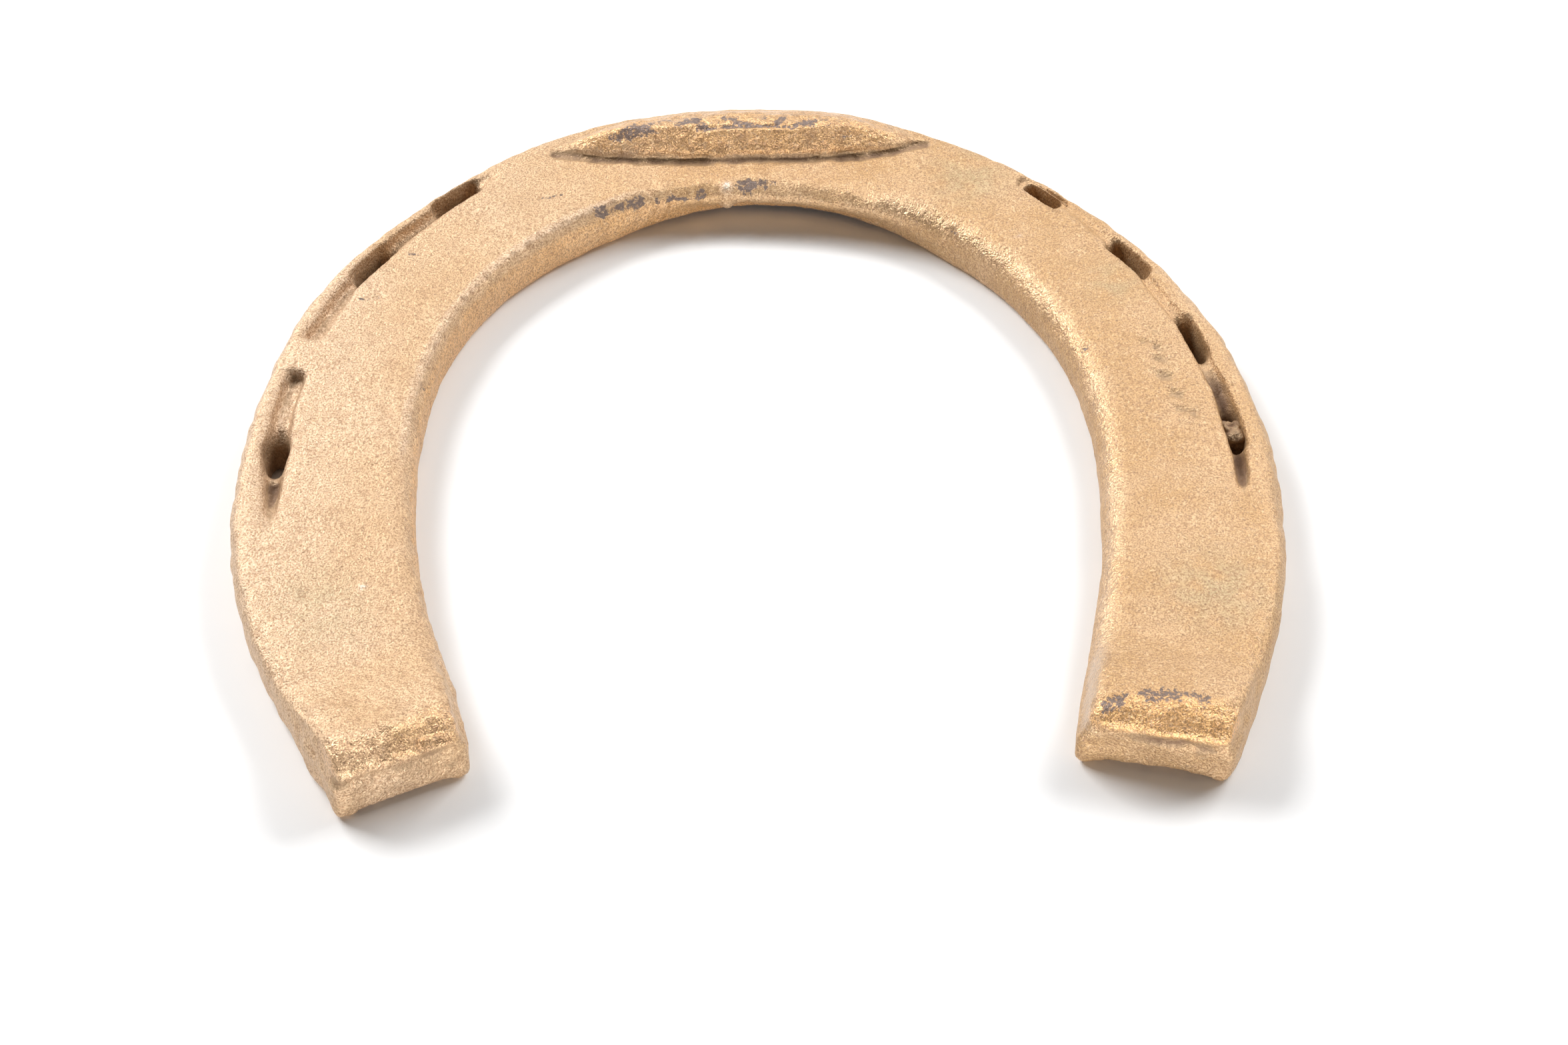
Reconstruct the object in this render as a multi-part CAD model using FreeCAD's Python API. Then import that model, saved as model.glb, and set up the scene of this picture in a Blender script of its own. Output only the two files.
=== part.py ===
"""Forged steel horseshoe with toe and heel calks, lying ground side up.

Millimetres.  +Z is up, the hoof side rests on Z = 0, the toe points to +Y,
and the origin is under the centre of the whole shoe.
"""
import FreeCAD, Part
import os
from math import hypot

V = FreeCAD.Vector

# ---- bar ----------------------------------------------------------------
BAR_THICKNESS = 7.0
OUTER_EDGE_INSET = 1.1      # ground-side bevel, measured in from the outer wall
INNER_EDGE_INSET = 1.5      # the same on the more worn inner edge
EDGE_DROP = 1.7             # height of both bevels
BOTTOM_EDGE = 0.7           # bevel on the hoof-side edges
TOE_ROLL = 3.1              # lean of the worn outer wall at the toe, foot to face

# Cross sections of the bar, left heel -> toe -> right heel:
# (outer x, outer y), (inner x, inner y), share of the toe roll.
# The left heel is longer and turns in further than the right one.
SECTIONS = [
    ((-49.8, -64.4), (-34.9, -57.2), 0.0),
    ((-58.5, -49.0), (-37.0, -49.0), 0.0),
    ((-65.3, -33.0), (-42.2, -33.0), 0.0),
    ((-67.9, -15.0), (-45.2, -13.0), 0.0),
    ((-66.4, 3.0), (-44.7, 4.0), 0.0),
    ((-60.6, 23.5), (-40.0, 20.0), 0.0),
    ((-48.8, 40.1), (-32.0, 31.4), 0.1),
    ((-29.9, 57.0), (-18.5, 41.2), 0.7),
    ((0.0, 64.4), (0.0, 46.2), 1.0),
    ((27.3, 56.7), (18.8, 41.2), 0.7),
    ((46.6, 39.9), (31.6, 31.4), 0.1),
    ((59.2, 23.5), (39.4, 20.0), 0.0),
    ((66.5, 3.0), (44.4, 4.0), 0.0),
    ((68.1, -16.0), (45.4, -13.0), 0.0),
    ((65.9, -34.0), (43.4, -34.0), 0.0),
    ((61.5, -49.0), (40.3, -49.0), 0.0),
    ((57.4, -58.6), (39.4, -55.2), 0.0),
]

# ---- fullers (the grooves the nail heads sit in) ---------------------------
# Stations from toe to heel: (x, y, width at the face, depth).
LEFT_FULLER = [
    (-37.2, 47.6, 1.0, 0.5),
    (-42.0, 43.2, 2.0, 2.6),
    (-50.2, 33.7, 2.2, 2.8),
    (-56.8, 23.3, 2.4, 2.8),
    (-61.3, 11.4, 2.8, 3.0),
    (-63.1, -1.0, 3.0, 3.0),
    (-63.3, -9.0, 3.4, 3.2),
    (-63.1, -15.5, 3.0, 1.6),
    (-62.5, -22.5, 1.2, 0.4),
]
RIGHT_FULLER = [
    (36.4, 46.8, 0.8, 0.4),
    (43.3, 39.5, 1.4, 1.4),
    (51.3, 29.5, 1.6, 2.0),
    (58.0, 16.5, 2.0, 2.6),
    (62.0, 3.4, 2.4, 3.2),
    (63.2, -6.0, 2.6, 3.2),
    (63.4, -16.0, 1.0, 0.4),
]
GROOVE_FLOOR = 0.3          # width of the groove floor over its width at the face
GROOVE_CLEARANCE = 0.5      # the groove cutter stands this far above the face

# ---- nail holes and the nails left in them -----------------------------------
LEFT_HOLES = [(-43.0, 42.2), (-53.8, 28.5), (-61.6, 9.9), (-63.3, -7.6)]
RIGHT_HOLES = [(39.9, 42.9), (51.3, 29.5), (59.2, 13.7), (63.0, -3.4)]
HOLE_TOP = (8.4, 2.5)       # length along the groove, width, at the ground face
HOLE_BOTTOM = (5.2, 2.1)    # the same at the hoof face
NAIL_FOOT = 0.8             # both nails are snapped off this far above the hoof face
LEFT_NAIL = (2, 6.4, 7.0)   # hole index, length along the groove, height of its head
RIGHT_NAIL = (3, 3.6, 5.4)

# ---- calks ---------------------------------------------------------------------
TOE_CALK_RISE = 3.6
TOE_CALK_TIPS = (-30.0, 52.2), (24.0, 54.0)
TOE_CALK_INNER = [(-23.0, 50.2), (-8.0, 49.8), (8.0, 50.1), (17.0, 51.4)]
TOE_CALK_OUTER = [(-17.0, 58.8), (0.0, 61.2), (14.0, 59.8)]
# Levels of the calk: (share of its rise, share of its length, inner wall set back, outer wall set in)
TOE_CALK_LEVELS = [
    (0.0, 1.0, 0.0, 0.0),
    (0.5, 0.96, 1.5, 1.2),
    (0.85, 0.89, 2.6, 2.8),
    (1.0, 0.79, 2.9, 4.2),
]
HEEL_CALK_RISE = 3.2
# Outline of a heel calk along the branch: (distance from the heel end, share of the rise)
HEEL_CALK_PROFILE = [(0.0, 0.0), (0.4, 0.2), (1.8, 0.75), (4.2, 1.0), (6.2, 0.9), (13.0, 0.15), (13.0, 0.0)]
HEEL_CALK_SIDE_LEAN = 0.5   # inward lean of its sides per millimetre of height


def unit(a, b):
    """Unit direction in plan from a to b."""
    length = hypot(b[0] - a[0], b[1] - a[1])
    return (b[0] - a[0]) / length, (b[1] - a[1]) / length


def toward(a, b, distance):
    """Point that lies the given distance from a on the way to b."""
    dx, dy = unit(a, b)
    return a[0] + dx * distance, a[1] + dy * distance


def curve(points, z):
    """Smooth edge through plan points at height z."""
    spline = Part.BSplineCurve()
    spline.interpolate([V(x, y, z) for x, y in points])
    return spline.toShape()


def line(a, b, z):
    return Part.makeLine(V(a[0], a[1], z), V(b[0], b[1], z))


def bar_outline(z, outer_inset, inner_inset, roll):
    """Closed plan outline of the bar at height z, drawn in from its walls."""
    outer = [toward(o, i, outer_inset + roll * share) for o, i, share in SECTIONS]
    inner = [toward(i, o, inner_inset) for o, i, _ in SECTIONS]
    return Part.Wire([
        curve(outer, z),
        line(outer[-1], inner[-1], z),
        curve(inner[::-1], z),
        line(inner[0], outer[0], z),
    ])


def make_bar():
    """The bent bar: straight walls, bevelled edges, and a rolled toe."""
    wall_top = BAR_THICKNESS - EDGE_DROP
    outlines = [
        bar_outline(0.0, BOTTOM_EDGE, BOTTOM_EDGE, 0.0),
        bar_outline(BOTTOM_EDGE, 0.0, 0.0, 0.0),
        bar_outline(0.5 * wall_top, 0.0, 0.0, 0.2 * TOE_ROLL),
        bar_outline(wall_top, 0.0, 0.0, 0.6 * TOE_ROLL),
        bar_outline(BAR_THICKNESS, OUTER_EDGE_INSET, INNER_EDGE_INSET, TOE_ROLL - OUTER_EDGE_INSET),
    ]
    return Part.makeLoft(outlines, True, True)


def groove(stations):
    """Tapering V groove with a narrow floor, cut down from the ground face."""
    sections = []
    top = BAR_THICKNESS + GROOVE_CLEARANCE
    for index, (x, y, width, depth) in enumerate(stations):
        before = stations[max(index - 1, 0)]
        after = stations[min(index + 1, len(stations) - 1)]
        tx, ty = unit(before, after)
        nx, ny = -ty, tx
        floor = BAR_THICKNESS - depth
        spread = 1.0 + GROOVE_CLEARANCE / depth * (1.0 - GROOVE_FLOOR)
        corners = [
            (-0.5 * width * spread, top),
            (-0.5 * width * GROOVE_FLOOR, floor),
            (0.5 * width * GROOVE_FLOOR, floor),
            (0.5 * width * spread, top),
        ]
        points = [V(x + nx * s, y + ny * s, z) for s, z in corners]
        sections.append(Part.makePolygon(points + points[:1]))
    return Part.makeLoft(sections, True, True)


def hole_direction(hole, stations):
    """Direction of the groove where the hole lies."""
    nearest = min(range(len(stations) - 1), key=lambda i: hypot(
        0.5 * (stations[i][0] + stations[i + 1][0]) - hole[0],
        0.5 * (stations[i][1] + stations[i + 1][1]) - hole[1]))
    return unit(stations[nearest], stations[nearest + 1])


def rectangle(centre, direction, size, z):
    """Closed rectangle at height z, its length along the direction."""
    tx, ty = direction
    half_length, half_width = 0.5 * size[0], 0.5 * size[1]
    points = []
    for s, w in ((-1, -1), (1, -1), (1, 1), (-1, 1)):
        along, across = s * half_length, w * half_width
        points.append(V(centre[0] + tx * along - ty * across, centre[1] + ty * along + tx * across, z))
    return Part.makePolygon(points + points[:1])


def nail_hole(hole, stations):
    """Tapered rectangular punch that goes right through the bar."""
    direction = hole_direction(hole, stations)
    return Part.makeLoft([
        rectangle(hole, direction, HOLE_BOTTOM, -0.1),
        rectangle(hole, direction, HOLE_TOP, BAR_THICKNESS + 0.1),
    ], True, True)


def make_nail(stations, hole, length, head):
    """Broken nail that fills its hole and groove up to the height of its head."""
    tx, ty = hole_direction(hole, stations)
    width = 3.0 * HOLE_TOP[1]
    corner = V(hole[0] - 0.5 * (tx * length - ty * width), hole[1] - 0.5 * (ty * length + tx * width), NAIL_FOOT)
    slab = Part.makePlane(length, width, corner, V(0, 0, 1), V(tx, ty, 0)).extrude(V(0, 0, head - NAIL_FOOT))
    return groove(stations).fuse(nail_hole(hole, stations)).common(slab)


def toe_calk_outline(rise_share, length_share, set_back, set_in):
    """Closed lens between the inner and outer edges of the calk at one level."""
    z = BAR_THICKNESS + rise_share * TOE_CALK_RISE
    left, right = [(x * length_share, y + 0.3 * set_back) for x, y in TOE_CALK_TIPS]
    inner = [(x * length_share, y + set_back) for x, y in TOE_CALK_INNER]
    outer = [(x * length_share, y - set_in) for x, y in TOE_CALK_OUTER]
    return Part.Wire([curve([left] + inner + [right], z), curve([right] + outer[::-1] + [left], z)])


def make_toe_calk():
    """Welded toe calk: a pointed bar whose outer side rolls into the toe."""
    return Part.makeLoft([toe_calk_outline(*level) for level in TOE_CALK_LEVELS], True, True)


def make_heel_calk(end, before):
    """Wedge on the heel end, highest near the end and fading up the branch."""
    outer, inner = end[:2]
    middle = 0.5 * (outer[0] + inner[0]), 0.5 * (outer[1] + inner[1])
    ahead = 0.5 * (before[0][0] + before[1][0]), 0.5 * (before[0][1] + before[1][1])
    along = unit(middle, ahead)
    across = unit(outer, inner)
    width = 2.0 * hypot(inner[0] - outer[0], inner[1] - outer[1])
    start = toward(outer, inner, -0.25 * width)
    points = [
        V(start[0] + along[0] * s, start[1] + along[1] * s, BAR_THICKNESS + share * HEEL_CALK_RISE)
        for s, share in HEEL_CALK_PROFILE
    ]
    wedge = Part.Face(Part.makePolygon(points + points[:1])).extrude(V(across[0] * width, across[1] * width, 0))
    lean = HEEL_CALK_SIDE_LEAN * 2 * HEEL_CALK_RISE
    walls = Part.makeLoft([
        bar_outline(BAR_THICKNESS, OUTER_EDGE_INSET, INNER_EDGE_INSET, 0.0),
        bar_outline(BAR_THICKNESS + 2 * HEEL_CALK_RISE, OUTER_EDGE_INSET + lean, INNER_EDGE_INSET + lean, 0.0),
    ], True, True)
    return wedge.common(walls)


def main():
    """Cut the grooves and holes into the bar and write one file per piece."""
    bar = make_bar()
    for stations, holes in ((LEFT_FULLER, LEFT_HOLES), (RIGHT_FULLER, RIGHT_HOLES)):
        bar = bar.cut(groove(stations))
        for hole in holes:
            bar = bar.cut(nail_hole(hole, stations))
    left_index, left_length, left_head = LEFT_NAIL
    right_index, right_length, right_head = RIGHT_NAIL
    parts = {
        "shoe_bar": bar,
        "toe_calk": make_toe_calk(),
        "left_heel_calk": make_heel_calk(SECTIONS[0], SECTIONS[1]),
        "right_heel_calk": make_heel_calk(SECTIONS[-1], SECTIONS[-2]),
        "left_nail": make_nail(LEFT_FULLER, LEFT_HOLES[left_index], left_length, left_head),
        "right_nail": make_nail(RIGHT_FULLER, RIGHT_HOLES[right_index], right_length, right_head),
    }
    os.makedirs("parts", exist_ok=True)
    for name, shape in parts.items():
        shape.exportStep("parts/" + name + ".step")
        print(name, "solids:", len(shape.Solids), "valid:", shape.isValid(), "mm3:", round(shape.Volume, 1))


main()
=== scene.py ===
"""The looks of a worn horseshoe painted with grainy gold paint, lying hoof side down on a white table.

One painted skin covers the bar, its three calks and the left nail. The snapped right nail is a piece of
its own. Sizes are in millimetres in the frame of the CAD model, unless a name says otherwise.
"""

from math import cos, radians, sin

import bmesh
import bpy
import numpy as np
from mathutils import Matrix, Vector, noise


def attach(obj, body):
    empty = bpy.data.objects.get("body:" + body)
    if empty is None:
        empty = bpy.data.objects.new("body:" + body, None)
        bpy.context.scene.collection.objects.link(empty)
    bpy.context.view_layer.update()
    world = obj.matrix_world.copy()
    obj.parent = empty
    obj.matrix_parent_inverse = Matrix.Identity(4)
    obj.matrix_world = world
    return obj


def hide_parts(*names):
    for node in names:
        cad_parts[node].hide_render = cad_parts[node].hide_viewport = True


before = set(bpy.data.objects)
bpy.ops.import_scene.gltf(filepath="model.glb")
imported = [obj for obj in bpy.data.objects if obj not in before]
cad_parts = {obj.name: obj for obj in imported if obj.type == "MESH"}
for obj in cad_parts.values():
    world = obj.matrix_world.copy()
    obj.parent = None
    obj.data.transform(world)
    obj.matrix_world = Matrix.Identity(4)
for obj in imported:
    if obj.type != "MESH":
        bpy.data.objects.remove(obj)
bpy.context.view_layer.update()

MM = 0.001

# Mesh sizes, how far the copy of a calk is sunk into the bar, and the level of the flat ground side
SKIN_VOXEL = 0.52
NAIL_VOXEL = 0.28
CALK_SINK = 1.0
FACE = 7.0

# Edges of the bar seen from above, left heel round the toe to the right heel
INNER_EDGE = [(-34.9, -57.2), (-37, -49), (-42.2, -33), (-45.2, -13), (-44.7, 4), (-40, 20), (-32, 31.4),
              (-18.5, 41.2), (0, 46.2), (18.8, 41.2), (31.6, 31.4), (39.4, 20), (44.4, 4), (45.4, -13),
              (43.4, -34), (40.3, -49), (39.4, -55.2)]
OUTER_EDGE = [(-49.8, -64.4), (-58.5, -49), (-65.3, -33), (-67.9, -15), (-66.4, 3), (-60.6, 23.5),
              (-48.8, 40.1), (-29.9, 57), (0, 64.4), (27.3, 56.7), (46.6, 39.9), (59.2, 23.5), (66.5, 3),
              (68.1, -16), (65.9, -34), (61.5, -49), (57.4, -58.6)]
TOE_OVERHANG = 2.6               # the top of the inner edge at the toe leans this far over the opening
TOE_LIFT = 1.4                   # and its foot stands this far off the table
SHOULDERS = [((46, 38), 24, 1), ((-38, 50), 20, 0.4)]       # outer bulges: (place, reach, push)
QUARTERS = [((34, 27), 24, 0.4), ((-28, 35), 20, 0.2)]      # the same on the inner edge

# Fuller grooves and nail holes
LEFT_GROOVE = [(-42, 43.2), (-50.2, 33.7), (-56.8, 23.3), (-61.3, 11.4), (-63.1, -1), (-63.3, -9),
               (-62.5, -22.5)]
RIGHT_GROOVE = [(38, 44.7), (43.3, 39.5), (51.3, 29.5), (58, 16.5), (62, 3.4), (63.2, -6), (63.4, -15)]
OPEN_HOLES = [(-43, 42.2), (-53.8, 28.5), (-63.3, -7.6), (51.3, 29.5), (59.2, 13.7), (63, -3.4)]
ROUND_HOLE = (-63.3, -7.6)       # the open hole that has worn into a round crater
GROOVE_TAILS = [[(-63.2, -13), (-62.9, -18), (-62.2, -23)], [(63.3, -8), (63.3, -12), (63.1, -16.5)]]
LEFT_CHANNEL_DEPTH = 1.9         # of the groove between its nail holes
RIGHT_CHANNEL_DEPTH = (1.1, 3)   # ahead of the third hole, and just ahead of the fourth

# Toe calk: where its inner wall meets the face, its crest, and the ledge just inside the crest
TOE_SEAM = [(-30, 51.3), (-23, 50.1), (-8, 49.8), (8, 50.1), (17, 51.4), (24, 53.6)]
TOE_CREST = [(-23, 51.5), (-15, 53.6), (-7, 54.6), (3, 54.6), (12, 53.6)]
TOE_LEDGE = [(-9, 53), (-3, 53.4), (5, 53.2)]
CALK_TAPER = (-31, -18, 9, 26)   # the calk rises from its left tip, and falls to its right tip, over these x

# Heel calks: end edges, height of the crest over the face, hollow under it, how far the crest is from
# the end and the calk runs along the branch, then the lips over the end faces, the cracks in the left
# calk and the chipped crest of the right one
HEEL_ENDS = [((-49.8, -64.4), (-34.9, -57.2)), ((39.4, -55.2), (57.4, -58.6))]
HEEL_RISE = 2.9
HEEL_LIFT = 0.9
HEEL_CREST = 4.4
HEEL_FADE = 18
LEFT_HEEL_LIP = [(-50, -63.9), (-43.3, -62.4), (-36.9, -58.6)]
RIGHT_HEEL_LIP = [(40.5, -58), (45.5, -57.4), (49, -57), (56, -58.6)]
LEFT_HEEL_CRACKS = [((-42.6, -61.2), (-40.6, -60.4)), ((-39.8, -59), (-37.6, -58)),
                    ((-38.2, -60), (-36.8, -59.2))]
RIGHT_HEEL_CREST = [(42.3, -53.9), (45.6, -53), (49.5, -52.6), (54, -53.5)]

# Marks: (x, y, radius, depth), where a negative depth stands proud
CHIPS = [(-22.6, 39.6, 1.3, 0.25), (-17, 41.8, 1.2, 0.3), (-14.6, 42.4, 0.8, 0.25), (-12.6, 42.8, 1, 0.35),
         (-8.5, 43.9, 0.8, 0.2), (-1.8, 44.7, 1.6, 0.35), (0.8, 44.6, 0.9, 0.2), (26.9, 35.4, 1.5, 0.5),
         (30.2, 30.8, 1.1, 0.4), (44.3, 11.2, 0.8, 0.25), (-44.6, 4.2, 0.9, 0.3), (-44.9, -3.4, 0.7, 0.25)]
PITS = [(-50.1, -11.5, 1.1, 0.25), (-43.9, -23.4, 0.9, 0.25), (-49.2, -1.7, 1.3, 0.2), (-54.8, 0.8, 1, 0.2),
        (-60.7, -47.2, 1.4, 0.4), (49.5, -41, 0.7, 0.25), (53, 4, 0.9, 0.2), (8.2, 50.5, 0.8, 0.2),
        (-27.5, 43.8, 0.8, 0.15), (55.5, -57, 0.9, 0.4), (53.2, -58.6, 0.7, 0.3)]
CHIPPED_LINES = [[(-24, 38.9), (-19, 41.2), (-15, 42.4)], [(-13, 42.8), (-8, 43.7)], [(-3, 44.9), (2, 45)]]
BEADS = [(-4.7, 44.3, 1.4, -0.8), (36.5, 33.6, 0.6, -0.2), (-49.6, -32.6, 0.8, -0.25)]
SCRATCHES = [((-31.5, 41.5), (-28, 42.4)), ((-54.9, 20.5), (-52.2, 21)), ((-49.4, 30.2), (-46.9, 29.7))]
DULL_PATCHES = [(30, 46, 9), (49, 24, 6), (58, -33, 11), (-55, -36, 10)]    # (x, y, radius)
SCAR = [(53, 13.8), (54, 8.4), (55.6, 3), (57, -2)]         # ragged hammer marks beside the right groove
SCAR_STEP = 2.9                  # from one mark to the next
SCAR_LIP = (57.6, -3.4)          # metal pushed up at the scar's end

# Paint: base colours of the shoe and the nail, how deep its grain is, then what colours it locally, painted
# light and shade among them
SHOE_GOLD = ((0.58, 0.365, 0.175), (0.64, 0.425, 0.235))
NAIL_GOLD = ((0.2, 0.14, 0.08), (0.3, 0.22, 0.15))
PAINT_GRAIN_DEPTH = 0.2
# CREAM also paints light: the paler left side and rim, and a highlight on the left heel calk
CREAM = (0.74, 0.57, 0.42)
WHITE_BEAD = (0.85, 0.82, 0.70)
OLIVE = (0.48, 0.40, 0.24)
# This orange is a painted sheen
SHEEN_ORANGE = (0.90, 0.50, 0.19)
BRIGHT_FLAKE = (0.86, 0.64, 0.40)
DARK_FLAKE = (0.33, 0.18, 0.085)
FOLD_SHADE = (0.26, 0.13, 0.06)
DARK_SPECK = (0.24, 0.135, 0.08)
# These two browns colour dirt and painted shade alike
DUST_AND_SHADE_BROWN = (0.38, 0.25, 0.14)
DIRT_AND_SHADE_BROWN = (0.19, 0.10, 0.05)
# This dark steel colours the chips, and painted shade at the foot of the toe
BARE_STEEL_AND_SHADE = (0.13, 0.09, 0.08)

# Softboxes, in metres and watts, all aimed at the origin: (name, place, width, height, power)
SOFTBOXES = [("left_key", (-0.6, 0.47, 0.64), 0.55, 0.4, 10.8),
             ("right_key", (0.6, 0.47, 0.64), 0.55, 0.4, 8),
             ("back", (0, 0.75, 0.75), 0.9, 0.4, 1.6),
             ("low_front", (0.1, -1, 0.04), 0.8, 0.07, 9.5)]
FLOOR_REACH_M = 3.0

# Camera
VIEW_ELEVATION = 47
VIEW_DISTANCE = 403
VIEW_AIM = (3.5, -15, 0)
SENSOR_WIDTH_MM = 36
LENS_MM = 70.4


# ---------------------------------------------------------------- mesh helpers

def curve_points(corners, steps=5):
    """Points along a smooth Catmull-Rom curve through the corners."""
    ends = np.array([corners[0], *corners, corners[-1]], float)
    places = []
    for a, b, c, d in zip(ends, ends[1:], ends[2:], ends[3:]):
        for t in np.linspace(0, 1, steps, endpoint=False):
            places.append(0.5 * (2 * b + (c - a) * t + (2 * a - 5 * b + 4 * c - d) * t**2
                                 + (3 * b - 3 * c + d - a) * t**3))
    places.append(ends[-1])
    return np.array(places)


def distance_to_spots(points, spots):
    """Distance in plan from each point to the nearest of the spots."""
    nearest = np.full(len(points), 1e9)
    for spot in spots:
        nearest = np.minimum(nearest, np.hypot(points[:, 0] - spot[0], points[:, 1] - spot[1]))
    return nearest


def distance_to_line(points, line):
    """Distance in plan from each point to the nearest part of a line through the given points."""
    nearest = np.full(len(points), 1e9)
    for start, end in zip(line, line[1:]):
        along = np.subtract(end, start)
        offset = points[:, :2] - start
        share = np.clip(offset @ along / (along @ along), 0, 1)
        nearest = np.minimum(nearest, np.linalg.norm(offset - share[:, None] * along, axis=1))
    return nearest


def fade(distance, reach):
    """1 at distance 0, falling smoothly to 0 at the reach."""
    return (1 - np.clip(distance / reach, 0, 1) ** 2) ** 2


def ramp(values, low, high):
    """0 below low, 1 above high, smooth between them."""
    t = np.clip((values - low) / (high - low), 0, 1)
    return t * t * (3 - 2 * t)


def lumps(points, size, seed):
    """Smooth noise from about -1 to 1, with lumps of about the given size."""
    shift = Vector((seed * 17.3, seed * 5.1, seed * 9.7))
    return np.array([noise.noise(Vector(p) / size + shift) for p in points])


def pitted(points, size, seed):
    """Sparse round pits: 1 at a pit's centre and 0 over most of the surface."""
    shift = Vector((seed * 7.7, seed * 3.3, seed * 12.1))
    near = np.array([noise.voronoi(Vector(p) / size + shift)[0][0] for p in points])
    return 1 - ramp(near, 0.0, 0.3)


def remeshed(name, nodes, sunk_nodes, voxel):
    """One closed object made from copies of CAD nodes; a sunk node's underside goes down into the bar."""
    bm = bmesh.new()
    for node in nodes:
        first = len(bm.verts)
        bm.from_mesh(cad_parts[node].data)
        bm.verts.ensure_lookup_table()
        if node in sunk_nodes:
            for vertex in bm.verts[first:]:
                if vertex.co.z < (FACE + 0.01) * MM:
                    vertex.co.z -= CALK_SINK * MM
    bmesh.ops.remove_doubles(bm, verts=bm.verts, dist=0.001 * MM)
    rough = bpy.data.meshes.new(name)
    bm.to_mesh(rough)
    bm.free()
    piece = bpy.data.objects.new(name, rough)
    bpy.context.scene.collection.objects.link(piece)
    remesh = piece.modifiers.new("skin", "REMESH")
    remesh.mode = "VOXEL"
    remesh.voxel_size = voxel * MM
    remesh.use_smooth_shade = True
    bpy.context.view_layer.update()
    skin = bpy.data.meshes.new_from_object(piece.evaluated_get(bpy.context.evaluated_depsgraph_get()))
    piece.modifiers.clear()
    piece.data = skin
    skin.name = name
    bpy.data.meshes.remove(rough)
    return piece


def refine(piece, inside):
    """Halves the mesh size where inside(points) is true."""
    bm = bmesh.new()
    bm.from_mesh(piece.data)
    bm.verts.ensure_lookup_table()
    wanted = inside(np.array([vertex.co for vertex in bm.verts]) / MM)
    edges = [edge for edge in bm.edges if all(wanted[vertex.index] for vertex in edge.verts)]
    bmesh.ops.subdivide_edges(bm, edges=edges, cuts=1, use_grid_fill=True)
    bmesh.ops.triangulate(bm, faces=[face for face in bm.faces if len(face.verts) > 4])
    for face in bm.faces:
        face.smooth = True
    bm.to_mesh(piece.data)
    bm.free()


def read_points(piece):
    """The piece's points in millimetres."""
    flat = np.zeros(len(piece.data.vertices) * 3)
    piece.data.vertices.foreach_get("co", flat)
    return flat.reshape(-1, 3) / MM


def write_points(piece, points):
    piece.data.vertices.foreach_set("co", (points * MM).ravel())
    piece.data.update()


def read_normals(piece):
    flat = np.zeros(len(piece.data.vertices) * 3)
    piece.data.vertex_normals.foreach_get("vector", flat)
    return flat.reshape(-1, 3)


def read_edges(piece):
    flat = np.zeros(len(piece.data.edges) * 2, int)
    piece.data.edges.foreach_get("vertices", flat)
    return flat.reshape(-1, 2)


def smoothed(points, edges, rounds):
    """The points after each has moved halfway to the middle of its neighbours, some number of times."""
    neighbours = np.bincount(edges.ravel(), minlength=len(points))[:, None]
    for _ in range(rounds):
        total = np.zeros_like(points)
        np.add.at(total, edges[:, 0], points[edges[:, 1]])
        np.add.at(total, edges[:, 1], points[edges[:, 0]])
        points = points + 0.5 * (total / neighbours - points)
    return points


def paint(piece, name, values):
    """Stores one number per point for the material to read."""
    attribute = piece.data.attributes.new(name, "FLOAT", "POINT")
    attribute.data.foreach_set("value", np.clip(values, 0, 1).astype(np.float32))


# ---------------------------------------------------------------- the shoe's skin

def in_calks(points):
    """True on the toe calk, the heel calks and the bar's end faces."""
    toe = (points[:, 1] > 48) & (np.abs(points[:, 0]) < 33) & (points[:, 2] > 5.5)
    heels = (points[:, 1] < -51.5) & (points[:, 2] > 4)
    return toe | heels


def distance_to_grooves(points):
    return np.minimum(distance_to_line(points, curve_points(LEFT_GROOVE)),
                      distance_to_line(points, curve_points(RIGHT_GROOVE)))


def distance_to_lips(points):
    return np.minimum(distance_to_line(points, curve_points(LEFT_HEEL_LIP)),
                      distance_to_line(points, curve_points(RIGHT_HEEL_LIP)))


def ragged_seam(points):
    """Distance in plan to the seam of the toe calk, made ragged."""
    return distance_to_line(points, curve_points(TOE_SEAM)) + 0.5 * lumps(points, 2.6, 19)


def ragged_lips(points):
    """Distance in plan to the lips of the heel calks, made ragged."""
    return distance_to_lips(points) + 0.5 * lumps(points, 2.4, 19)


def groove_tails(points, reach):
    """The shallow lower tails of the grooves: 1 along the start of each, 0 beyond the reach."""
    marks = np.zeros(len(points))
    for tail in GROOVE_TAILS:
        marks += fade(distance_to_line(points, tail), reach) * fade(distance_to_spots(points, tail[:1]), 11)
    return marks


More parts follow.
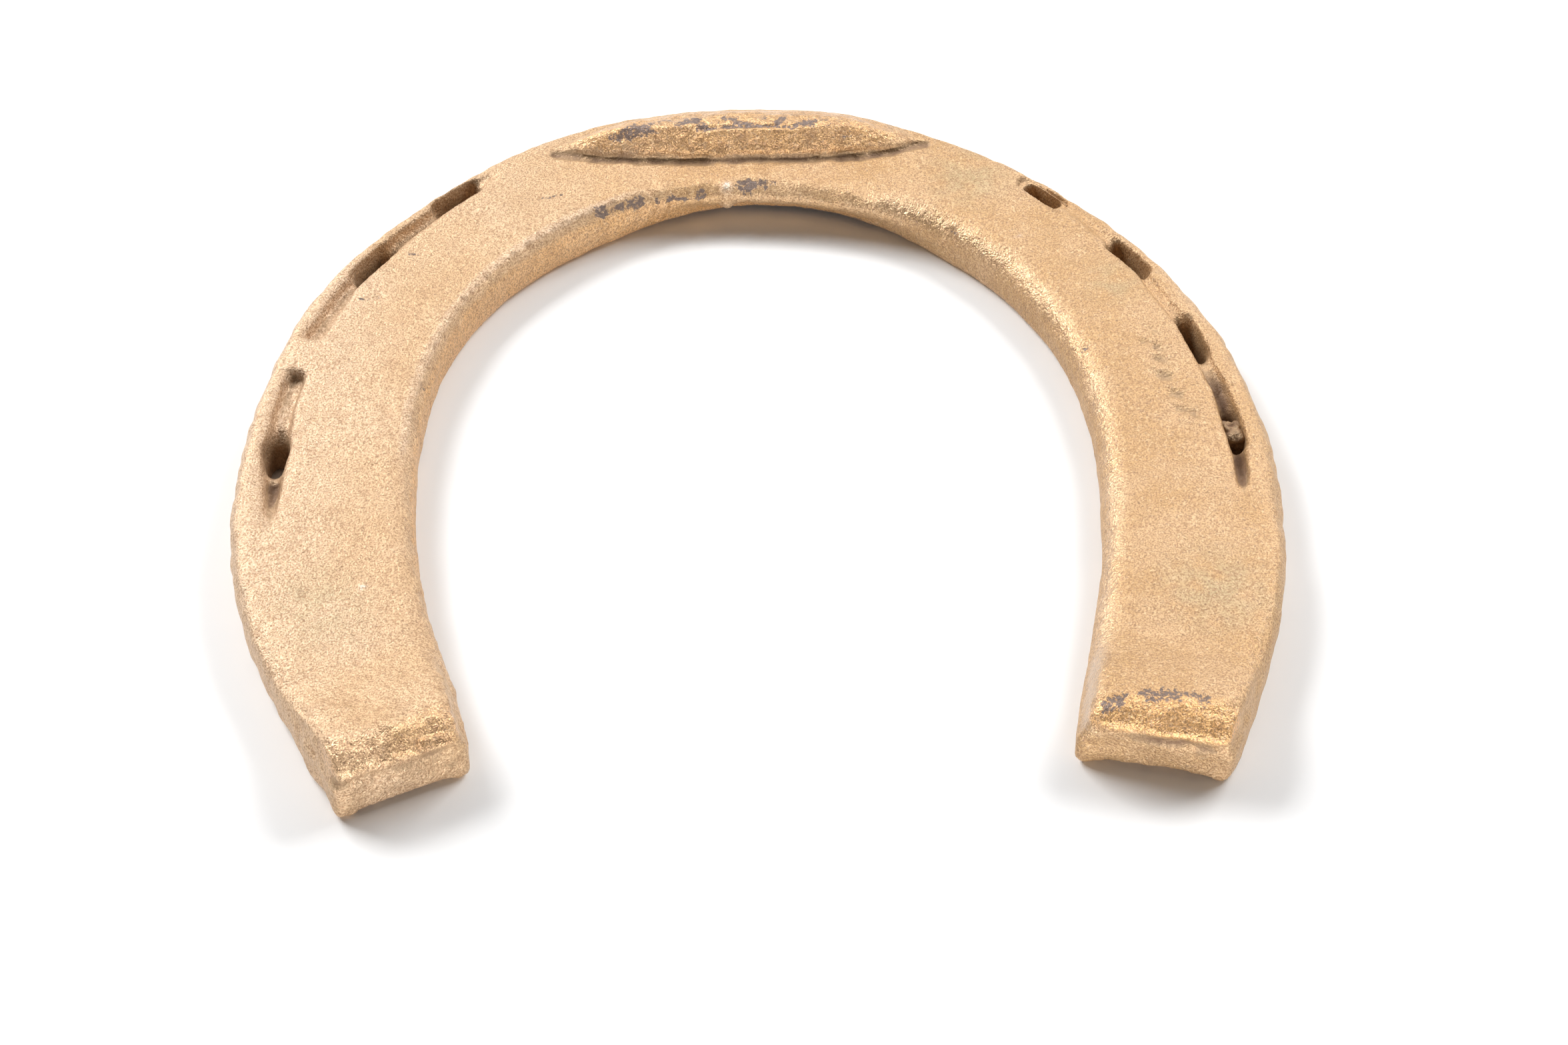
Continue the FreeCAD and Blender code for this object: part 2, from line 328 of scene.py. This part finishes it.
def worn_calks(points):
    """Tapers the toe calk to its tips, slopes its top, and runs the heel calks smoothly into the face."""
    x, y, z = points.T
    rise, top, fall, foot = CALK_TAPER
    toe = ramp(y, 45, 47)
    taper = ramp(x, rise, top) * (1 - ramp(x, fall, foot))
    above = np.maximum(z - FACE, 0)
    z = z - toe * above * (1 - taper)
    z = z - 0.15 * toe * np.clip(y - 53.5, 0, 6) * ramp(z, FACE, FACE + 2)
    from_side = np.minimum(distance_to_line(points, curve_points(INNER_EDGE)),
                           distance_to_line(points, curve_points(OUTER_EDGE)))
    shoulder = (1 - np.clip(from_side / 3, 0, 1)) ** 2
    for start, end in HEEL_ENDS:
        along = np.subtract(end, start)
        inward = np.array((-along[1], along[0])) / np.hypot(*along)
        depth = (points[:, :2] - start) @ inward
        front = np.sqrt(np.clip(1 - (1 - np.clip(depth / HEEL_CREST, 0, 1)) ** 2, 0, 1))
        wanted = FACE + HEEL_RISE * front * (1 - ramp(depth, HEEL_CREST, HEEL_FADE)) - 1.6 * shoulder
        on_heel = (np.sign(x) == np.sign(start[0])) * ramp(-y, 34, 42)
        z = z + on_heel * ramp(z, 6.1, 6.8) * (wanted - z)
        z = z + HEEL_LIFT * on_heel * fade(depth, 5) * ramp(from_side, 1, 4) * (1 - ramp(z, 0, 3.5))
    return np.column_stack((x, y, z))


def shallow_channels(points):
    """Raises the floor of each groove between its nail holes, where scale and paint have built up."""
    x, y, z = points.T
    groove = distance_to_grooves(points)
    between = ramp(distance_to_spots(points, OPEN_HOLES), 4, 4.9) * (groove < 2.4) * ramp(z, 1, 2)
    shallow, deep = RIGHT_CHANNEL_DEPTH
    depth = np.where(x < 0, LEFT_CHANNEL_DEPTH, deep + (shallow - deep) * ramp(y, 0, 9))
    z = z + between * np.maximum(FACE - depth - z, 0)
    return np.column_stack((x, y, z))


def worn_edges(points):
    """Reshapes the bar's edges.

    The right inner edge gets a broad worn bevel, and the rim outside the right groove is lower. At the toe
    the inner edge leans over the opening and its foot stands off the table. Smoothing has shrunk the bar,
    so both edges are swelled back, more at the shoulders and quarters.
    """
    x, y, z = points.T
    inner = curve_points(INNER_EDGE)
    from_inner = distance_to_line(points, inner)
    top = ramp(z, 3, 6.5)
    z = z - 1.0 * ramp(x, 10, 28) * top * (1 - np.clip(from_inner / 4.2, 0, 1)) ** 2
    at_toe = fade(np.abs(x - 5), 27) * ramp(y, 28, 36)
    z = z + 0.4 * at_toe * fade(from_inner, 3) * ramp(z, 3.5, 5.3)
    y = y - TOE_OVERHANG * at_toe * fade(from_inner, 5.5) * ramp(z, 1, 5)
    z = z + TOE_LIFT * fade(np.abs(x - 2), 30) * ramp(y, 26, 42) * fade(from_inner, 16) * (1 - ramp(z, 0, 6))
    from_outer = distance_to_line(points, curve_points(OUTER_EDGE))
    z = z - 0.9 * fade(from_outer, 3.6) * top * ramp(x, 34, 44) * ramp(y, -30, -15)
    swell = 0.3 * fade(from_outer, 5) - 0.35 * fade(from_inner, 5)
    for spot, reach, push in SHOULDERS:
        swell += push * fade(distance_to_spots(points, [spot]), reach) * fade(from_outer, 10)
    for spot, reach, push in QUARTERS:
        swell -= push * fade(distance_to_spots(points, [spot]), reach) * fade(from_inner, 6)
    outward = np.column_stack((x, np.maximum(y, 0)))
    outward *= (swell / np.linalg.norm(outward, axis=1))[:, None]
    return np.column_stack((x + outward[:, 0], y + outward[:, 1], z))


def narrowed_hole(points):
    """Draws the foot of the crater hole together, so that its sloping wall shows instead of the table."""
    middle = ROUND_HOLE[1]
    foot = fade(distance_to_spots(points, [ROUND_HOLE]), 5) * (1 - ramp(points[:, 2], 1, 5))
    points[:, 1] += 0.6 * foot * (middle - points[:, 1])
    return points


def left_bead(points):
    """A thin crinkled bead of paint along the left inner edge: 1 on the bead, 0 away from it."""
    from_inner = distance_to_line(points, curve_points(INNER_EDGE))
    left = ramp(-points[:, 0], 14, 24) * ramp(points[:, 1], -14, 0) * ramp(points[:, 2], 5, 6)
    return left * fade(np.abs(from_inner - 1.2), 0.8)


def scar_marks(points):
    """Slanting dents side by side along the scar: 1 at the bottom of each, 0 outside."""
    x, y = points[:, 0], points[:, 1]
    slant = y + 0.5 * x + 1.3 * lumps(points, 3, 22)
    dents = ramp(np.sin(2 * np.pi * slant / SCAR_STEP), -0.6, 0.9) * ramp(lumps(points, 2, 24), -0.5, 0.2)
    return dents * fade(distance_to_line(points, SCAR), 2.6) * ramp(points[:, 2], 5, 6)


def relief(points, normals):
    """How far each point of the skin moves out along its normal."""
    x, y, z = points.T
    up = ramp(normals[:, 2], 0.3, 0.8)
    edge = fade(distance_to_line(points, curve_points(INNER_EDGE)), 4) * ramp(z, 2, 5)
    height = 0.18 * lumps(points, 13, 1) + 0.12 * lumps(points, 4.5, 2) + 0.08 * lumps(points, 1.7, 3)
    rough = 1 - 0.75 * ramp(x, 12, 28)
    height += rough * edge * (0.25 * lumps(points, 3, 16) + 0.14 * lumps(points, 1.2, 17))
    height += (0.25 + 0.4 * lumps(points, 1, 23)) * left_bead(points)
    outer = fade(distance_to_line(points, curve_points(OUTER_EDGE)), 2.5)
    height += outer * 0.22 * lumps(points, 2.4, 18)
    height -= 0.14 * pitted(points, 5.5, 4) * ramp(lumps(points, 16, 5), -0.1, 0.3)
    height -= 0.1 * pitted(points, 2.6, 6) * ramp(lumps(points, 9, 7), 0, 0.4)
    for cx, cy, radius, depth in CHIPS + PITS + BEADS:
        spot = fade(distance_to_spots(points, [(cx, cy)]), radius) * ramp(z, 1.5, 4)
        height -= depth * spot
    height -= 0.9 * up * groove_tails(points, 1.1)
    height -= 0.75 * ramp(z, 2, 5) * fade(distance_to_spots(points, [ROUND_HOLE]), 3)
    height += up * (0.45 * fade(distance_to_spots(points, [SCAR_LIP]), 1.6) - 0.6 * scar_marks(points))
    for start, end in SCRATCHES:
        height -= 0.16 * up * fade(distance_to_line(points, (start, end)), 0.5)

    # Toe calk: lumpy crest, a ledge inside it, and an undercut seam
    calk = ramp(z, 7.4, 9) * ramp(y, 46, 49)
    height += calk * (0.28 * lumps(points, 3.2, 8) + 0.14 * lumps(points, 1.4, 9))
    height -= 0.35 * calk * fade(distance_to_line(points, curve_points(TOE_LEDGE)), 0.8)
    seam = fade(ragged_seam(points), 1.1) * (1 - ramp(z, 7.6, 8.6)) * ramp(z, 5.6, 6.4)
    height -= (0.45 + 0.25 * lumps(points, 2.5, 10)) * seam

    # Heel calks: soft lumps, cracks in the left one, a groove under each lip
    heel = ramp(-y, 50, 54) * ramp(z, 6.8, 8)
    height += heel * (0.3 * lumps(points, 3.5, 11) + (0.14 + 0.1 * (x < 0)) * lumps(points, 1.4, 12))
    for start, end in LEFT_HEEL_CRACKS:
        height -= 0.45 * ramp(z, 6.8, 7.6) * fade(distance_to_line(points, (start, end)), 0.7)
    under_lip = fade(np.abs(z - 6.4 - 0.6 * lumps(points, 5, 25)), 0.9) * fade(ragged_lips(points), 1.6)
    height -= (0.35 + 0.5 * lumps(points, 2.2, 13)) * under_lip
    end_face = ramp(-y, 54, 56) * (1 - ramp(z, 6, 7))
    height += end_face * (0.3 * lumps(points, 3.2, 14) - 0.3 * pitted(points, 2.4, 15))
    return height


def shoe_dirt_and_shade(points, hollow, grain):
    """Where the skin is darkened: the scar, the seam and spots low on the end faces; deeper in the grooves
    and holes; and painted shade in the hollows, under the lips, at the calk's left tip and ahead of the
    fourth right hole.
    """
    x, y, z = points.T
    groove = distance_to_grooves(points)
    hole = distance_to_spots(points, OPEN_HOLES)
    # Painted shade in the right groove just ahead of its fourth hole.
    right_pit = ramp(x, 50, 60) * ramp(-y, -13, -4)
    # Darker down in the grooves and holes, the deeper below the face.
    in_groove = 0.3 * fade(groove, 3) * (1 - ramp(z, 5, 6.5))
    in_groove += 0.5 * groove_tails(points, 1.2) * ramp(z, 3, 5)
    in_groove += 0.25 * scar_marks(points) + 0.6 * fade(groove, 2.6) * (1 - ramp(z, 5.5, 6.5)) * right_pit
    in_hole = 0.3 * fade(hole, 4.6) * (1 - ramp(z, 4.5, 6.3))
    from_seam = ragged_seam(points)
    seam = fade(from_seam, 1.2) * (1 - ramp(z, 7.2, 8.4)) * ramp(z, 5, 6)
    # Painted shade at the left tip of the toe calk.
    calk_tip = 0.4 * fade(from_seam, 3.5) * ramp(-x, 10, 20) * ramp(z, 6.8, 7.6)
    # Painted shade in a ragged band under the lips of the heel calks.
    under_lip = fade(np.abs(z - 6.3 - 0.6 * lumps(points, 5, 25)), 1.3)
    under_lip *= fade(ragged_lips(points), 2.2) * ramp(grain, -0.6, 0.1)
    end_dirt = 0.3 * ramp(-y, 54, 56) * (1 - ramp(z, 5, 6.5)) * ramp(lumps(points, 1.8, 26), 0, 0.4)
    # Painted shade in the hollows, the more concave the darker.
    hollow_shade = 1.6 * np.clip(hollow - 0.03, 0, 0.3) * (1 - 0.7 * ramp(z, 7.2, 8))
    dirt_and_shade = in_groove + in_hole + 0.8 * seam + calk_tip + 0.8 * under_lip + end_dirt + hollow_shade
    return dirt_and_shade * (0.85 + 0.4 * grain)


def shoe_chips_and_toe_shade(points, grain):
    """Where the paint has gone from crests, chipped spots and scratches, and painted shade at the foot of the
    toe.
    """
    x, y, z = points.T
    toe_crest = fade(distance_to_line(points, curve_points(TOE_CREST)), 2.2)
    toe_crest *= ramp(z, 8.2, 9.4) * ramp(grain, -0.3, 0.15)
    ledge = fade(distance_to_line(points, curve_points(TOE_LEDGE)), 0.8) * ramp(z, 8, 9)
    heel_crest = fade(distance_to_line(points, curve_points(RIGHT_HEEL_CREST)) - 0.4, 1.4)
    heel_crest *= ramp(z, 8.2, 9) * ramp(grain, -0.3, 0.1)
    chips_and_shade = 1.1 * toe_crest + 0.9 * ledge + 0.9 * heel_crest
    for cx, cy, radius, _ in CHIPS:
        chips_and_shade += 1.3 * ramp(z, 4.8, 5.8) * fade(distance_to_spots(points, [(cx, cy)]), radius * 1.2)
    for chipped in CHIPPED_LINES:
        chips_and_shade += 0.9 * ramp(z, 4.6, 5.6) * fade(distance_to_line(points, chipped), 1) * ramp(grain, -0.3, 0.1)
    for start, end in SCRATCHES:
        chips_and_shade += 0.9 * fade(distance_to_line(points, (start, end)), 0.55)
    # Painted shade: the foot of the toe, under its overhang, takes the dark steel colour.
    shaded_toe_foot = 1 - ramp(z, 1.6, 2.8)
    chips_and_shade += shaded_toe_foot * fade(np.abs(x - 5), 27) * ramp(y, 28, 36)
    return chips_and_shade


def shoe_tones(points, grain):
    """Cream, olive and orange shares of the colour, and how glossy and how crinkled the paint is."""
    x, y, z = points.T
    from_inner = distance_to_line(points, curve_points(INNER_EDGE))
    heel_slopes = ramp(fade(distance_to_lips(points), 6.5), 0, 0.5) * ramp(z, 6.8, 7.6)
    on_calk = ramp(y, 47, 49) * ramp(z, 7.2, 8)

    # Painted light: cream on the left side and its outer rim, and a painted highlight on the left half of the
    # left heel calk's slope.
    left_rim = ramp(-x, 46, 64) * (1 - ramp(y, 20, 50))
    cloud = ramp(lumps(points, 18, 21), 0, 0.5) * ramp(-x, 20, 50)
    left_heel_highlight = heel_slopes * ramp(-x, 42, 46)
    pale_and_lit = 0.3 * ramp(-x, 5, 40) + 0.5 * left_rim + 0.3 * cloud
    pale_and_lit = np.minimum(pale_and_lit + 1.2 * left_bead(points) + 0.8 * left_heel_highlight, 0.8)
    for cx, cy, radius, _ in BEADS:
        pale_and_lit += 1.5 * fade(distance_to_spots(points, [(cx, cy)]), radius)

    dull = np.zeros(len(points))
    for cx, cy, radius in DULL_PATCHES:
        dull += fade(distance_to_spots(points, [(cx, cy)]), radius) * ramp(grain, -0.5, 0.3)
    dull += 0.6 * scar_marks(points)

    inner_wall = fade(from_inner, 1.5) * (1 - ramp(z, 5, 6)) * (1 - ramp(x, 5, 25)) * ramp(y, -40, -20)
    # Painted sheen: an orange tint on the heel slopes, the toe calk and the inner wall from the left branch
    # round the toe.
    orange_sheen = (1 - 0.5 * (x < 0)) * heel_slopes + 0.5 * on_calk + 0.6 * inner_wall

    right_bevel = fade(from_inner, 3.4) * ramp(x, 6, 26) * ramp(z, 4, 6)
    gloss = 0.9 * right_bevel + 0.45 * heel_slopes + 0.35 * on_calk + 0.15

    inner_edge = fade(from_inner, 4) * ramp(z, 1, 3)
    heels = fade(distance_to_lips(points), 7.5) * ramp(z, 6, 7)
    toe_calk = ramp(y, 47, 49.5) * ramp(z, 7, 7.6) * (1 - ramp(y, 56, 60))
    crinkle = 0.2 + 0.3 * inner_edge + (0.25 + 0.5 * (x < 0)) * heels + 0.8 * toe_calk
    crinkle += 0.3 * ramp(-x, 25, 50)
    return {"pale_and_lit": pale_and_lit, "dull": dull, "orange_sheen": orange_sheen, "gloss": gloss, "crinkle": crinkle}


def make_shoe():
    """The painted skin over the bar, the calks and the left nail."""
    calks = ["toe_calk", "left_heel_calk", "right_heel_calk"]
    nodes = ["shoe_bar", "left_nail", *calks]
    shoe = remeshed("horseshoe_skin", nodes, calks, SKIN_VOXEL)
    refine(shoe, in_calks)
    edges = read_edges(shoe)
    points = smoothed(read_points(shoe), edges, 3)
    points = smoothed(narrowed_hole(worn_edges(worn_calks(shallow_channels(points)))), edges, 2)
    right = ramp(points[:, 0], 8, 26)
    worn_round = (0.3 + 0.7 * right) * fade(distance_to_line(points, curve_points(INNER_EDGE)), 5)
    worn_round *= ramp(points[:, 2], 3, 5)
    worn_round += 0.5 * fade(distance_to_grooves(points), 2) * (1 - ramp(points[:, 2], 5.6, 6.4))
    points += worn_round[:, None] * (smoothed(points, edges, 24) - points)
    write_points(shoe, points)
    normals = read_normals(shoe)
    points = points + relief(points, normals)[:, None] * normals
    points[:, 2] = np.maximum(points[:, 2], 0)
    write_points(shoe, points)
    normals = read_normals(shoe)
    hollow = ((smoothed(points, edges, 10) - points) * normals).sum(1)
    grain = lumps(points, 2.2, 20)
    paint(shoe, "dirt_and_shade", shoe_dirt_and_shade(points, hollow, grain))
    paint(shoe, "chips_and_shade", shoe_chips_and_toe_shade(points, grain))
    for name, values in shoe_tones(points, grain).items():
        paint(shoe, name, values)
    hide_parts(*nodes)
    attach(shoe, "root")
    return shoe


def make_nail(node, seed):
    """A snapped nail, caked with paint."""
    nail = remeshed(node + "_stub", [node], [], NAIL_VOXEL)
    edges = read_edges(nail)
    points = smoothed(read_points(nail), edges, 10)
    write_points(nail, points)
    normals = read_normals(nail)
    height = 0.3 + 0.9 * lumps(points, 1.2, seed) + 0.4 * lumps(points, 0.6, seed + 1)
    points = points + height[:, None] * normals
    write_points(nail, points)
    hollow = ((smoothed(points, edges, 8) - points) * read_normals(nail)).sum(1)
    # Dirt on the nail, with painted shade in its hollows.
    paint(nail, "dirt_and_shade", 0.6 + 0.5 * lumps(points, 1.3, seed + 2) + 3 * np.clip(hollow, 0, 0.3))
    paint(nail, "chips_and_shade", ramp(lumps(points, 1.2, seed + 3), 0.3, 0.5))
    paint(nail, "crinkle", np.ones(len(points)))
    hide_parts(node)
    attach(nail, "root")
    return nail


# ---------------------------------------------------------------- materials

class Nodes:
    """Short ways to add and join the nodes of one material or world."""

    def __init__(self, tree):
        self.tree = tree
        self.tree.nodes.clear()

    def add(self, kind, **settings):
        node = self.tree.nodes.new(kind)
        for name, value in settings.items():
            setattr(node, name, value)
        return node

    def join(self, source, target):
        self.tree.links.new(source, target)

    def position(self):
        """The point's place in millimetres."""
        scale = self.add("ShaderNodeVectorMath", operation="SCALE")
        scale.inputs["Scale"].default_value = 1 / MM
        self.join(self.add("ShaderNodeTexCoord").outputs["Object"], scale.inputs[0])
        return scale.outputs[0]

    def noise(self, place, size, detail=2, roughness=0.5):
        """Noise with lumps of about the given size in millimetres."""
        texture = self.add("ShaderNodeTexNoise")
        texture.inputs["Scale"].default_value = 1 / size
        texture.inputs["Detail"].default_value = detail
        texture.inputs["Roughness"].default_value = roughness
        self.join(place, texture.inputs["Vector"])
        return texture.outputs["Fac"]

    def cells(self, place, size):
        """Distance to the nearest of scattered points, about the given size in millimetres apart."""
        texture = self.add("ShaderNodeTexVoronoi")
        texture.inputs["Scale"].default_value = 1 / size
        self.join(place, texture.inputs["Vector"])
        return texture.outputs["Distance"]

    def stretch(self, value, low, high, to_low=0.0, to_high=1.0):
        """Maps low..high to to_low..to_high, smooth and clamped."""
        node = self.add("ShaderNodeMapRange", interpolation_type="SMOOTHSTEP")
        node.inputs["From Min"].default_value = low
        node.inputs["From Max"].default_value = high
        node.inputs["To Min"].default_value = to_low
        node.inputs["To Max"].default_value = to_high
        self.join(value, node.inputs["Value"])
        return node.outputs["Result"]

    def math(self, operation, a, b):
        node = self.add("ShaderNodeMath", operation=operation)
        for socket, value in zip(node.inputs, (a, b)):
            if isinstance(value, (int, float)):
                socket.default_value = value
            else:
                self.join(value, socket)
        return node.outputs[0]

    def attribute(self, name):
        return self.add("ShaderNodeAttribute", attribute_name=name).outputs["Fac"]

    def mix(self, share, base, over):
        """Blends a colour over the base colour by the share."""
        node = self.add("ShaderNodeMix", data_type="RGBA")
        for socket, value in ((node.inputs[0], share), (node.inputs[6], base), (node.inputs[7], over)):
            if isinstance(value, tuple):
                socket.default_value = (*value, 1)
            elif isinstance(value, (int, float)):
                socket.default_value = value
            else:
                self.join(value, socket)
        return node.outputs[2]


def paint_tone(nodes, place, warm, light):
    """Clouded gold, turned cream, white, olive or orange where the skin says so; the cream is partly painted
    light and the orange is a painted sheen.
    """
    cloud = nodes.noise(place, 9, 3, 0.6)
    pale_and_lit = nodes.attribute("pale_and_lit")
    colour = nodes.mix(nodes.stretch(cloud, 0.35, 0.65), warm, light)
    colour = nodes.mix(nodes.math("MULTIPLY", pale_and_lit, 0.8), colour, CREAM)
    colour = nodes.mix(nodes.math("MULTIPLY", nodes.stretch(pale_and_lit, 0.85, 1), 0.8), colour, WHITE_BEAD)
    colour = nodes.mix(nodes.math("MULTIPLY", nodes.attribute("dull"), 0.6), colour, OLIVE)
    return nodes.mix(nodes.math("MULTIPLY", nodes.attribute("orange_sheen"), 0.8), colour, SHEEN_ORANGE)


def flaked(nodes, colour, place, grain, fine, fold_share):
    """The colour with bright and dark flakes, shaded folds and dark specks."""
    colour = nodes.mix(nodes.stretch(grain, 0.5, 0.66, 0, 0.5), colour, BRIGHT_FLAKE)
    colour = nodes.mix(nodes.stretch(fine, 0.34, 0.6, 0.8, 0), colour, DARK_FLAKE)
    colour = nodes.mix(fold_share, colour, FOLD_SHADE)
    near_speck = nodes.stretch(nodes.cells(place, 0.6), 0.1, 0.4, 1, 0)
    speck_share = nodes.math("MULTIPLY", near_speck, nodes.stretch(grain, 0.42, 0.58))
    return nodes.mix(nodes.math("MULTIPLY", speck_share, 0.6), colour, DARK_SPECK)


def roughened(nodes, attribute, grain, amount):
    """An attribute of the skin with its border broken up by the grain."""
    breaking = nodes.math("MULTIPLY", nodes.math("SUBTRACT", grain, 0.5), amount)
    return nodes.math("ADD", nodes.attribute(attribute), breaking)


def grain_bump(nodes, grain, fine, folds, crinkle, bare_and_shade):
    """The relief of the flakes and folds, lower where the paint is gone and where shade is painted at the
    foot of the toe.
    """
    height = nodes.math("ADD", grain, nodes.math("MULTIPLY", fine, 0.6))
    height = nodes.math("ADD", height, nodes.math("MULTIPLY", nodes.math("MULTIPLY", folds, crinkle), 2.6))
    height = nodes.math("SUBTRACT", height, nodes.math("MULTIPLY", bare_and_shade, 0.3))
    bump = nodes.add("ShaderNodeBump")
    bump.inputs["Strength"].default_value = 0.9
    bump.inputs["Distance"].default_value = PAINT_GRAIN_DEPTH * MM
    nodes.join(height, bump.inputs["Height"])
    return bump.outputs[0]


def gold_paint(name, warm, light):
    """Grainy gold paint over steel: flakes, specks, brown soiling and painted shade, and dark chipped spots
    down to the steel, with painted shade at the foot of the toe.
    """
    material = bpy.data.materials.new(name)
    material.use_nodes = True
    nodes = Nodes(material.node_tree)
    place = nodes.position()
    grain = nodes.noise(place, 0.55, 3, 0.65)
    fine = nodes.noise(place, 0.24, 2, 0.6)
    folds = nodes.noise(place, 1.3, 3, 0.6)
    gloss = nodes.attribute("gloss")
    crinkle = nodes.attribute("crinkle")
    ragged_dirt_and_shade = roughened(nodes, "dirt_and_shade", grain, 0.7)
    dirt_and_shade_share = nodes.stretch(ragged_dirt_and_shade, 0.45, 1.0)
    bare_and_shade = nodes.stretch(roughened(nodes, "chips_and_shade", grain, 2.6), 0.6, 0.95)

    in_fold = nodes.stretch(folds, 0.36, 0.5, 1, 0)
    fold_share = nodes.math("MULTIPLY", in_fold, nodes.math("MULTIPLY", crinkle, 0.35))
    colour = flaked(nodes, paint_tone(nodes, place, warm, light), place, grain, fine, fold_share)
    # Browns for dirt and painted shade, then dark steel for the chips and for the painted shade at the toe's
    # foot
    light_dirt_and_shade_share = nodes.stretch(ragged_dirt_and_shade, 0.18, 0.45)
    colour = nodes.mix(nodes.math("MULTIPLY", light_dirt_and_shade_share, 0.75), colour, DUST_AND_SHADE_BROWN)
    colour = nodes.mix(nodes.math("MULTIPLY", dirt_and_shade_share, 0.85), colour, DIRT_AND_SHADE_BROWN)
    colour = nodes.mix(nodes.math("MULTIPLY", bare_and_shade, 0.9), colour, BARE_STEEL_AND_SHADE)

    relief_normal = grain_bump(nodes, grain, fine, folds, crinkle, bare_and_shade)
    roughness = nodes.stretch(grain, 0.3, 0.7, 0.46, 0.64)
    roughness = nodes.math("ADD", roughness, nodes.math("MULTIPLY", dirt_and_shade_share, 0.2))
    roughness = nodes.math("SUBTRACT", roughness, nodes.math("MULTIPLY", gloss, 0.16))
    metal = nodes.math("MULTIPLY", nodes.stretch(dirt_and_shade_share, 0, 1, 0.5, 0.1), nodes.stretch(bare_and_shade, 0, 1, 1, 0.3))
    metal = nodes.math("ADD", metal, nodes.math("MULTIPLY", gloss, 0.35))
    surface = nodes.add("ShaderNodeBsdfPrincipled")
    nodes.join(colour, surface.inputs["Base Color"])
    nodes.join(roughness, surface.inputs["Roughness"])
    nodes.join(metal, surface.inputs["Metallic"])
    nodes.join(relief_normal, surface.inputs["Normal"])
    nodes.join(gloss, surface.inputs["Coat Weight"])
    nodes.join(relief_normal, surface.inputs["Coat Normal"])
    surface.inputs["Coat Roughness"].default_value = 0.3
    nodes.join(surface.outputs[0], nodes.add("ShaderNodeOutputMaterial").inputs["Surface"])
    return material


def white_table():
    material = bpy.data.materials.new("white_table")
    material.use_nodes = True
    nodes = Nodes(material.node_tree)
    tone = nodes.mix(nodes.noise(nodes.position(), 60, 2), (0.9, 0.9, 0.9), (0.93, 0.93, 0.93))
    surface = nodes.add("ShaderNodeBsdfPrincipled")
    surface.inputs["Roughness"].default_value = 0.7
    surface.inputs["Specular IOR Level"].default_value = 0.2
    nodes.join(tone, surface.inputs["Base Color"])
    nodes.join(surface.outputs[0], nodes.add("ShaderNodeOutputMaterial").inputs["Surface"])
    return material


# ---------------------------------------------------------------- stage

def make_floor():
    reach = FLOOR_REACH_M
    mesh = bpy.data.meshes.new("floor")
    corners = [(-reach, -reach, 0), (reach, -reach, 0), (reach, reach, 0), (-reach, reach, 0)]
    mesh.from_pydata(corners, [], [(0, 1, 2, 3)])
    floor = bpy.data.objects.new("floor", mesh)
    floor.data.materials.append(white_table())
    bpy.context.scene.collection.objects.link(floor)


def add_softbox(name, place, width, height, watts):
    light = bpy.data.lights.new(name, "AREA")
    light.shape = "RECTANGLE"
    light.size = width
    light.size_y = height
    light.energy = watts
    lamp = bpy.data.objects.new(name, light)
    lamp.location = place
    bpy.context.scene.collection.objects.link(lamp)
    lamp.rotation_euler = (-lamp.location).to_track_quat("-Z", "Y").to_euler()


def light_room():
    """A soft white room, dimmer in front of the heels, with the softboxes."""
    for softbox in SOFTBOXES:
        add_softbox(*softbox)
    world = bpy.data.worlds.new("room")
    bpy.context.scene.world = world
    world.use_nodes = True
    nodes = Nodes(world.node_tree)
    split = nodes.add("ShaderNodeSeparateXYZ")
    nodes.join(nodes.add("ShaderNodeTexCoord").outputs["Generated"], split.inputs[0])
    shade = nodes.stretch(split.outputs["Y"], -0.5, 0.65, 0.04, 0.4)
    background = nodes.add("ShaderNodeBackground")
    nodes.join(shade, background.inputs["Strength"])
    nodes.join(background.outputs[0], nodes.add("ShaderNodeOutputWorld").inputs["Surface"])


def add_camera():
    camera = bpy.data.cameras.new("camera")
    camera.sensor_width = SENSOR_WIDTH_MM
    camera.lens = LENS_MM
    camera.clip_start = 0.01
    stand = bpy.data.objects.new("camera", camera)
    tilt = radians(VIEW_ELEVATION)
    stand.location = (Vector(VIEW_AIM) + VIEW_DISTANCE * Vector((0, -cos(tilt), sin(tilt)))) * MM
    stand.rotation_euler = (radians(90) - tilt, 0, 0)
    bpy.context.scene.collection.objects.link(stand)
    bpy.context.scene.camera = stand


def main():
    shoe = make_shoe()
    shoe.data.materials.append(gold_paint("gold_paint", *SHOE_GOLD))
    nail = make_nail("right_nail", 40)
    nail.data.materials.append(gold_paint("nail_gold_paint", *NAIL_GOLD))
    make_floor()
    light_room()
    add_camera()
    bpy.context.scene.view_settings.view_transform = "Standard"
    bpy.context.view_layer.update()


main()
